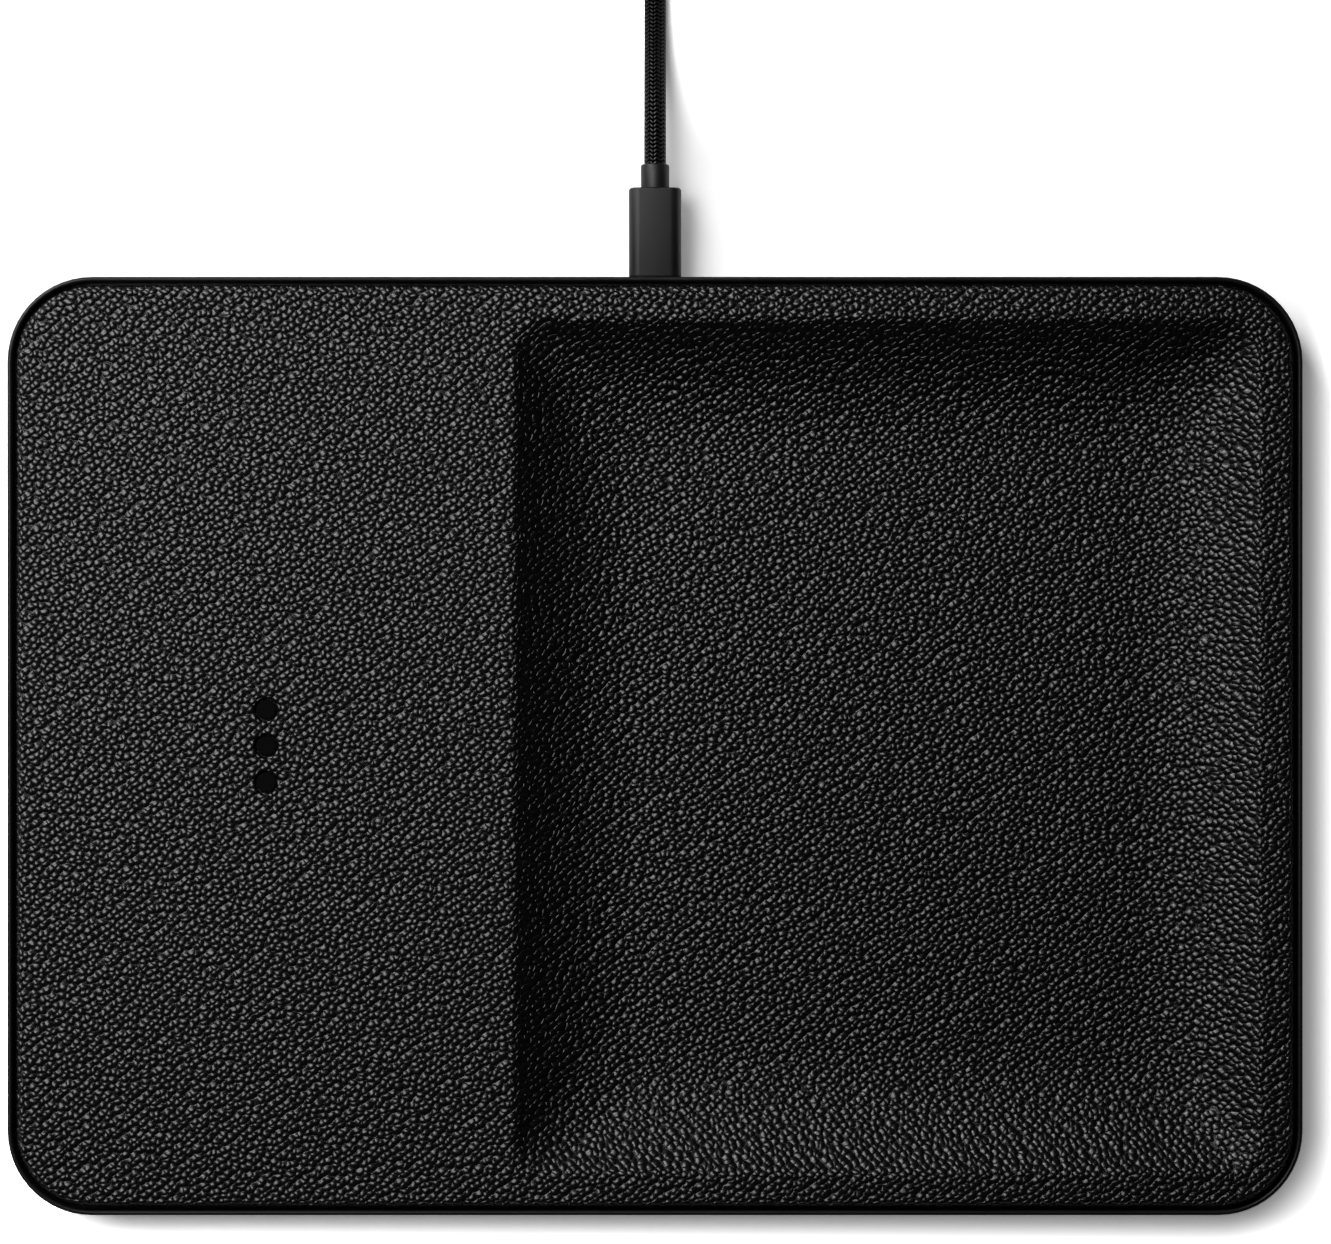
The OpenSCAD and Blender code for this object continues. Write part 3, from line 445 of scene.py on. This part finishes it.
plug_black = grained("anodised_plug", (0.003, 0.003, 0.0032), (0.005, 0.005, 0.0052), 0.42, 0.5,
                     3200.0, 0.00002, Specular_IOR_Level=0.36)
contact_steel = grained("contact_steel", (0.42, 0.42, 0.43), (0.55, 0.55, 0.57), 0.22, 0.36,
                        4000.0, 0.00001, Metallic=1.0)
insulator_black = grained("insulator_plastic", (0.012, 0.012, 0.013), (0.02, 0.02, 0.021),
                          0.5, 0.62, 3000.0, 0.00002)

plug_pieces = {}
for end, node_end, place, turn in (
        ("near", "plug", (0, 0.0947, port_z * 0.001), 0.0),
        ("far", "end", (tail[-1][0] * 0.001 - (housing_l + collar_l) * 0.001,
                        tail[-1][1] * 0.001, end_z * 0.001), -math.pi / 2)):
    plug_pieces[end] = [
        finish_piece(f"{end}_{part}", placed(shape(), place, turn), plug_black, "cord",
                     (f"{node_end}_{part}",), crease=35)
        for part, shape in (("housing", housing), ("collar", collar))]
    for part, material in (("shell", contact_steel), ("insulator", insulator_black)):
        cad[f"{node_end}_{part}"].data.materials[0] = material
        plug_pieces[end].append(cad[f"{node_end}_{part}"])


# ---------------------------------------------------------------- Tie
# A woven hook-and-loop strap is drawn tight round the bundle of turns at the coil's left
# side. Its end laps over the strap on the outside.
tie_t, tie_w, tie_gap = 0.6, 9.0, 0.15

strap_fabric, tree, shader = finish_of("strap_fabric", Specular_IOR_Level=0.3)
shader.inputs["Sheen Weight"].default_value = 0.08
spot = wired(tree, "TexCoord").outputs["Object"]
weave = [wired(tree, "TexWave", {"Vector": spot, "Scale": 420.0, "Distortion": 0.4,
                                 "Detail": 1.0}, wave_type="BANDS",
               bands_direction=way).outputs["Fac"] for way in ("DIAGONAL", "Y")]
cloth = math_of(tree, "MULTIPLY", *weave)
bump = wired(tree, "Bump", {"Height": cloth, "Strength": 0.8, "Distance": 0.0002})
tree.links.new(bump.outputs["Normal"], shader.inputs["Normal"])
tree.links.new(toned(tree, cloth, (0.004, 0.004, 0.0042), (0.014, 0.014, 0.0145)),
               shader.inputs["Base Color"])
tree.links.new(ranged(tree, cloth, 0.0, 1.0, 0.9, 0.72), shader.inputs["Roughness"])


def strap(bm, path, closed):
    """A strap that follows (place, outward) pairs of the X-Z plane, its edges rounded."""
    section = round_rect(tie_w / 2, tie_t / 2, 0.25, 3)
    rings = [[(p.x + out.x * d, coil_y + y, p.y + out.y * d) for y, d in section]
             for p, out in path]
    loops = lofted(bm, rings, not closed, not closed)
    if closed:
        bmesh.ops.bridge_loops(bm, edges=loops[-1] + loops[0])


def bundle_path(outward):
    """The shortest way round the turns under the strap, this far outside the cable's middle."""
    held = [Vector((p[0], p[2])) for p in coil
            if p[0] < -coil_out and abs(p[1] - coil_y) < tie_w / 2]
    hull = [held[k] for k in convex_hull_2d(held)]
    path = []
    for before, p, after in zip(hull[-1:] + hull, hull, hull[1:] + hull[:1]):
        first, last = (Vector((way.y, -way.x)).normalized() for way in (p - before, after - p))
        bend = first.angle_signed(last)
        steps = max(1, math.ceil(abs(bend) / math.radians(12)))
        path += [(p + out * outward, out) for out in
                 (Matrix.Rotation(-bend * k / steps, 2) @ first for k in range(steps + 1))]
    return path


bm = bmesh.new()
round_bundle = cord_d / 2 + tie_gap + tie_t / 2
strap(bm, bundle_path(round_bundle), True)
outer_side = [(p, out) for p, out in bundle_path(round_bundle + tie_t)
              if out.x < 0 and -0.4 < out.y < 0.75]
outer_side.sort(key=lambda pair: -pair[0].y)
lap = [(p + out * tie_t * min(0, k / 2 - 1), out) for k, (p, out) in enumerate(outer_side)]
strap(bm, lap, False)
tie = finish_piece("cord_strap", placed(bm, (0, 0, 0)), strap_fabric, "cord",
                   ("cord_tie",))


# ---------------------------------------------------------------- Leather cover
# One sheet of black full-grain leather, 1.2 mm thick, pressed and glued over the core: flat
# round the phone zone, rolled down at the outer edge and drawn down into the recess.
mm = 0.001
tray_half_l, tray_half_w, tray_h, tray_r = 130.0, 94.2, 18.0, 17.0
leather_in, leather_t, roll_r, hem_z = 1.7, 1.2, 1.5, 12.8
recess_x, recess_half_l, recess_half_w, recess_depth = 46.6, 75.6, 86.4, 8.5
wall_run, lip_r, lip_corner_r, floor_corner_r = 26.5, 2.75, 6.0, 13.0
wall_angle = 2 * math.atan(recess_depth / wall_run)
wall_r = wall_run / math.sin(wall_angle) - lip_r
marker_x, marker_ys, hole_r = -78.0, (7.3, 0.0, -7.3), 2.2
corner_steps = 20


def tray_ring(inset, z):
    return [(x, y, z) for x, y in
            round_rect(tray_half_l - inset, tray_half_w - inset, tray_r - inset, corner_steps)]


def recess_ring(s, z):
    r = lip_corner_r + (floor_corner_r - lip_corner_r) * s / wall_run
    return [(recess_x + x, y, z) for x, y in
            round_rect(recess_half_l - s, recess_half_w - s, r, corner_steps)]


def hole_ring(y, r, z):
    return [(marker_x + r * math.cos(a), y + r * math.sin(a), z)
            for a in (2 * math.pi * k / 40 for k in range(40))]


def wall_path(t, lip_steps, wall_steps):
    """The recess's wall at depth t under the face, from its lip down to its floor."""
    lip = [((lip_r - t) * math.sin(a), tray_h - lip_r + (lip_r - t) * math.cos(a))
           for a in (wall_angle * k / lip_steps for k in range(lip_steps))]
    bowl = [(wall_run - (wall_r + t) * math.sin(b),
             tray_h - recess_depth + wall_r - (wall_r + t) * math.cos(b))
            for b in (wall_angle * (1 - k / wall_steps) for k in range(wall_steps + 1))]
    return lip + bowl


def roll_path(t, steps):
    """The outer edge at depth t under the face, from the flat down to the hem."""
    return [(leather_in + roll_r - (roll_r - t) * math.cos(a),
             tray_h - roll_r + (roll_r - t) * math.sin(a))
            for a in (math.pi / 2 * (1 - k / steps) for k in range(steps + 1))]


def skin(bm, t, roll_steps, lip_steps, wall_steps):
    """One face of the sheet, at depth t: rolled edge, flat with its three holes, and recess."""
    hold = 0.6
    roll = [(s, z) for s, z in roll_path(t, roll_steps)]
    flat_z = tray_h - t
    edge = lofted(bm, [tray_ring(roll[0][0] + hold, flat_z)]
                  + [tray_ring(s, z) for s, z in roll]
                  + [tray_ring(leather_in + t, hem_z)], False, False)
    path = wall_path(t, lip_steps, wall_steps)
    bowl = lofted(bm, [recess_ring(-hold, flat_z)] + [recess_ring(s, z) for s, z in path],
                  False, False)
    bmesh.ops.edgeloop_fill(bm, edges=bowl[-1])
    holes, rims = [], []
    for y in marker_ys:
        soft_edge = 0.6 if t == 0 else 0.0
        rings = [hole_ring(y, hole_r + soft_edge + 0.4, flat_z)]
        for k in range(5 if soft_edge else 1):
            a = math.pi / 2 * k / 4
            rings.append(hole_ring(y, hole_r + soft_edge * (1 - math.sin(a)),
                                   flat_z - soft_edge * (1 - math.cos(a))))
        loops = lofted(bm, rings, False, False)
        holes += loops[0]
        rims.append(loops[-1])
    bmesh.ops.triangle_fill(bm, use_beauty=True, use_dissolve=False,
                            edges=edge[0] + bowl[0] + holes)
    return edge[-1], rims


bm = bmesh.new()
hem_out, rims_out = skin(bm, 0.0, 10, 8, 26)
hem_in, rims_in = skin(bm, leather_t, 5, 3, 10)
for a, b in [(hem_out, hem_in), *zip(rims_out, rims_in)]:
    bmesh.ops.bridge_loops(bm, edges=a + b)

leather, tree, shader = finish_of("pebbled_leather", Specular_IOR_Level=0.5)
spot = wired(tree, "TexCoord").outputs["Object"]
pebble = 0.00125
turned = wired(tree, "Mapping", {"Vector": spot, "Rotation": (0, 0, math.radians(-42)),
                                 "Scale": (0.88, 1.0, 1.0)}).outputs[0]
wander = wired(tree, "TexNoise", {"Vector": spot, "Scale": 420.0, "Detail": 1.0}).outputs["Color"]
wander = wired(tree, "VectorMath", {0: wander, 1: (0.5, 0.5, 0.5)}, operation="SUBTRACT").outputs[0]
wander = wired(tree, "VectorMath", {0: wander, "Scale": 0.0008}, operation="SCALE").outputs[0]
turned = wired(tree, "VectorMath", {0: turned, 1: wander}).outputs[0]
cells = {kind: wired(tree, "TexVoronoi", {"Vector": turned, "Scale": 1 / pebble,
                                          "Randomness": 0.64},
                     voronoi_dimensions="2D", feature=kind).outputs
         for kind in ("F1", "DISTANCE_TO_EDGE")}
out = math_of(tree, "DIVIDE", cells["F1"]["Distance"], 0.62)
dome = math_of(tree, "SUBTRACT", 1.0, math_of(tree, "POWER", out, 2.0))
dome = math_of(tree, "MAXIMUM", dome, 0.0)
crease = ranged(tree, cells["DISTANCE_TO_EDGE"]["Distance"], 0.0, 0.09)
pore = wired(tree, "TexNoise", {"Vector": spot, "Scale": 2600.0, "Detail": 3.0,
                                "Roughness": 0.6}).outputs["Fac"]
relief = math_of(tree, "MULTIPLY_ADD", pore, 0.04, dome)
relief = math_of(tree, "MULTIPLY_ADD", crease, 0.27, relief)
bump = wired(tree, "Bump", {"Height": relief, "Strength": 1.0, "Distance": 0.00026})
tree.links.new(bump.outputs["Normal"], shader.inputs["Normal"])
# Painted shade: the base colour is darker in the creases between the pebbles
tree.links.new(toned(tree, crease, (0.0004, 0.0004, 0.0004), (0.0014, 0.0014, 0.0015)),
               shader.inputs["Base Color"])
tree.links.new(ranged(tree, pore, 0.3, 0.7, 0.25, 0.33), shader.inputs["Roughness"])

finish_piece("leather_sheet", placed(bm, (0, 0, 0)), leather, "tray",
             ("leather_cover",), crease=60)


# ---------------------------------------------------------------- Marker dots
# Three satin black plastic studs sit in the leather's holes, half a millimetre below its
# face, and show where the phone goes. Each is moulded with a soft edge.
stud_r, stud_low, stud_high, stud_edge = 2.05, 16.5, 17.5, 0.2
satin_black = grained("satin_studs", (0.0004, 0.0004, 0.0004), (0.0008, 0.0008, 0.0008), 0.6, 0.72,
                      2200.0, 0.00001, Specular_IOR_Level=0.04)
for y, node_name in zip(marker_ys, ("marker_back", "marker_middle", "marker_front")):
    bm = bmesh.new()
    line = [(0, stud_low), (stud_r, stud_low), (stud_r, stud_high - stud_edge),
            (stud_r - 0.3 * stud_edge, stud_high - 0.3 * stud_edge),
            (stud_r - stud_edge, stud_high), (stud_r - 2 * stud_edge, stud_high), (0, stud_high)]
    line = [bm.verts.new((r, 0, z)) for r, z in line]
    edges = [bm.edges.new(pair) for pair in zip(line, line[1:])]
    bmesh.ops.spin(bm, geom=line + edges, cent=(0, 0, 0), axis=(0, 0, 1), angle=2 * math.pi,
                   steps=48, use_merge=True)
    bmesh.ops.remove_doubles(bm, verts=bm.verts, dist=1e-4)
    finish_piece(node_name.replace("marker", "stud"),
                 placed(bm, (marker_x * mm, y * mm, 0)), satin_black, "tray",
                 (node_name,))


# ---------------------------------------------------------------- Base shell
# The tray's metal body: a die-cast floor and wall with a rounded rim, bead-blasted and black.
# The CAD's own mesh has the right shape and keeps it.
cad["base_shell"].data.materials[0] = grained(
    "blasted_black_metal", (0.004, 0.004, 0.0042), (0.007, 0.007, 0.0072), 0.32, 0.42, 3600.0,
    0.00003, Specular_IOR_Level=0.2)


# ---------------------------------------------------------------- Port
# A moulded bezel stands 0.2 mm proud of the back wall round the receptacle's mouth.
# The receptacle is a drawn steel shell with a plastic tongue, soldered to the port board.
bezel_w, bezel_h, bezel_r, bezel_front, bezel_back = 19.0, 7.4, 2.0, 94.4, 93.0
mouth_w, mouth_h, bezel_edge, mouth_edge = 8.65, 2.8, 0.15, 0.3
bm = bmesh.new()
rings = [(bezel_w / 2, bezel_h / 2, bezel_r, bezel_back)]
for k in range(4):
    a = math.pi / 2 * k / 3
    inset = bezel_edge * (1 - math.cos(a))
    rings.append((bezel_w / 2 - inset, bezel_h / 2 - inset, bezel_r - inset,
                  bezel_front - bezel_edge * (1 - math.sin(a))))
for k in range(4):
    a = math.pi / 2 * k / 3
    spare = mouth_edge * (1 - math.sin(a))
    rings.append((mouth_w / 2 + spare, mouth_h / 2 + spare, mouth_h / 2 + spare,
                  bezel_front - mouth_edge * (1 - math.cos(a))))
rings.append((mouth_w / 2, mouth_h / 2, mouth_h / 2, bezel_back))
loops = lofted(bm, [[(x, y, z) for x, z in round_rect(w, h, r, 8)] for w, h, r, y in rings],
               False, False)
bmesh.ops.bridge_loops(bm, edges=loops[-1] + loops[0])
moulded_black = grained("moulded_bezel", (0.008, 0.008, 0.008), (0.014, 0.014, 0.014), 0.42,
                        0.55, 3000.0, 0.00003, Specular_IOR_Level=0.4)
finish_piece("port_surround", placed(bm, (0, 0, port_z * mm)), moulded_black, "tray",
             ("port_bezel",), crease=50)
cad["receptacle_shell"].data.materials[0] = contact_steel
cad["receptacle_tongue"].data.materials[0] = insulator_black


# ---------------------------------------------------------------- Foot mat
# A moulded silicone-rubber mat glued under the base, over the screws, with a soft edge and a
# shallow channel that follows it.
mat_half_l, mat_half_w, mat_r, mat_t = 122.0, 86.2, 9.0, 1.2
mat_profile = [(0.6, 1.2), (0.0, 1.2), (0.0, 0.4), (0.05, 0.2), (0.18, 0.06), (0.4, 0.0),
               (4.0, 0.0), (4.2, 0.05), (4.35, 0.3), (5.25, 0.3), (5.4, 0.05), (5.6, 0.0),
               (6.6, 0.0)]
bm = bmesh.new()
lofted(bm, [[(x, y, z) for x, y in
             round_rect(mat_half_l - s, mat_half_w - s, mat_r - s, 10)] for s, z in mat_profile])
rubber, tree, shader = finish_of("foot_rubber", Specular_IOR_Level=0.3)
spot = wired(tree, "TexCoord").outputs["Object"]
dimple = wired(tree, "TexVoronoi", {"Vector": spot, "Scale": 900.0, "Randomness": 0.15},
               voronoi_dimensions="2D").outputs["Distance"]
dust = wired(tree, "TexNoise", {"Vector": spot, "Scale": 38.0, "Detail": 5.0,
                                "Roughness": 0.7}).outputs["Fac"]
bump = wired(tree, "Bump", {"Height": dimple, "Strength": 0.5, "Distance": 0.0001})
tree.links.new(bump.outputs["Normal"], shader.inputs["Normal"])
tree.links.new(toned(tree, ranged(tree, dust, 0.35, 0.75), (0.010, 0.010, 0.0105),
                     (0.024, 0.024, 0.024)), shader.inputs["Base Color"])
tree.links.new(ranged(tree, dust, 0.3, 0.7, 0.62, 0.85), shader.inputs["Roughness"])
finish_piece("rubber_mat", placed(bm, (0, 0, 0)), rubber, "tray", ("foot_mat",),
             crease=50)


# ---------------------------------------------------------------- Core, bracket and screws
# The core is a moulded former under the leather; the bracket holds the coil against it.
# Zinc-plated pan-head screws hold the case, the bracket and both boards.
core_grey = grained("moulded_core", (0.030, 0.030, 0.032), (0.045, 0.045, 0.048), 0.5, 0.62,
                    1800.0, 0.00004)
bracket_black = grained("bracket_nylon", (0.012, 0.012, 0.013), (0.020, 0.020, 0.021), 0.45,
                        0.6, 1500.0, 0.00004)
zinc = grained("zinc_plate", (0.42, 0.43, 0.45), (0.62, 0.62, 0.60), 0.24, 0.42, 1400.0,
               0.00002, Metallic=1.0)
for material, names in ((core_grey, ["top_core"]), (bracket_black, ["coil_bracket"]),
                        (zinc, ["case_screws", "bracket_screws", "board_screws",
                                "port_screws"])):
    for name in names:
        cad[name].data.materials[0] = material


# ---------------------------------------------------------------- Charging coil
# Litz wire under clear enamel, wound flat, on a sheet of dark ferrite that is glued to the
# bracket; the thermistor is a dipped epoxy bead in the coil's middle.
litz, tree, shader = finish_of("enamelled_copper", Metallic=1.0, Coat_Weight=0.6,
                               Coat_Roughness=0.15)
spot = wired(tree, "TexCoord").outputs["Object"]
strand = wired(tree, "TexWave", {"Vector": spot, "Scale": 900.0, "Distortion": 3.0},
               wave_type="BANDS", bands_direction="DIAGONAL").outputs["Fac"]
tree.links.new(toned(tree, strand, (0.36, 0.12, 0.045), (0.72, 0.30, 0.13)),
               shader.inputs["Base Color"])
tree.links.new(ranged(tree, strand, 0.0, 1.0, 0.42, 0.26), shader.inputs["Roughness"])
bump = wired(tree, "Bump", {"Height": strand, "Strength": 0.5, "Distance": 0.00005})
tree.links.new(bump.outputs["Normal"], shader.inputs["Normal"])
cad["charging_coil"].data.materials[0] = litz
cad["ferrite_shield"].data.materials[0] = grained(
    "ferrite", (0.018, 0.019, 0.021), (0.050, 0.051, 0.054), 0.5, 0.72, 2600.0, 0.00004)
cad["thermistor"].data.materials[0] = grained(
    "dipped_epoxy", (0.010, 0.016, 0.030), (0.016, 0.026, 0.045), 0.14, 0.24, 900.0, 0.00002)


# ---------------------------------------------------------------- Circuit boards
# Glass-fibre boards under green solder mask, with etched tracks that show faintly through it,
# and the soldered chips, inductor, capacitors, sockets and the flat ribbon between them.
mask, tree, shader = finish_of("solder_mask", Specular_IOR_Level=0.5)
spot = wired(tree, "TexCoord").outputs["Object"]
cell = wired(tree, "TexVoronoi", {"Vector": spot, "Scale": 420.0, "Randomness": 0.9},
             distance="CHEBYCHEV", feature="F1").outputs["Distance"]
track = ranged(tree, math_of(tree, "PINGPONG", math_of(tree, "MULTIPLY", cell, 3.0), 0.5),
               0.18, 0.26)
bump = wired(tree, "Bump", {"Height": track, "Strength": 0.6, "Distance": 0.00004})
tree.links.new(bump.outputs["Normal"], shader.inputs["Normal"])
tree.links.new(toned(tree, track, (0.006, 0.030, 0.016), (0.012, 0.070, 0.034)),
               shader.inputs["Base Color"])
tree.links.new(ranged(tree, track, 0.0, 1.0, 0.24, 0.36), shader.inputs["Roughness"])
chip_epoxy = grained("chip_epoxy", (0.010, 0.010, 0.011), (0.019, 0.019, 0.020), 0.45, 0.6,
                     3600.0, 0.00002)
wound_grey = grained("inductor_shield", (0.09, 0.09, 0.092), (0.14, 0.14, 0.145), 0.5, 0.66,
                     2800.0, 0.00004)
ceramic = grained("capacitor_ceramic", (0.26, 0.17, 0.10), (0.36, 0.25, 0.16), 0.4, 0.55,
                  2400.0, 0.00002)
nylon = grained("socket_nylon", (0.58, 0.56, 0.50), (0.70, 0.68, 0.62), 0.4, 0.52, 1800.0,
                0.00002)
flat_ribbon, tree, shader = finish_of("flat_ribbon", Specular_IOR_Level=0.5)
spot = wired(tree, "TexCoord").outputs["Object"]
lane = wired(tree, "TexWave", {"Vector": spot, "Scale": 160.0}, wave_type="BANDS",
             bands_direction="Y").outputs["Fac"]
tree.links.new(toned(tree, ranged(tree, lane, 0.35, 0.65), (0.30, 0.31, 0.33),
                     (0.66, 0.66, 0.64)), shader.inputs["Base Color"])
tree.links.new(ranged(tree, lane, 0.0, 1.0, 0.3, 0.45), shader.inputs["Roughness"])
for material, names in ((mask, ["circuit_board", "port_board"]),
                        (chip_epoxy, ["controller_chip", "driver_chips"]),
                        (wound_grey, ["power_inductor"]), (ceramic, ["resonant_capacitors"]),
                        (nylon, ["link_sockets"]), (flat_ribbon, ["link_ribbon"])):
    for name in names:
        cad[name].data.materials[0] = material
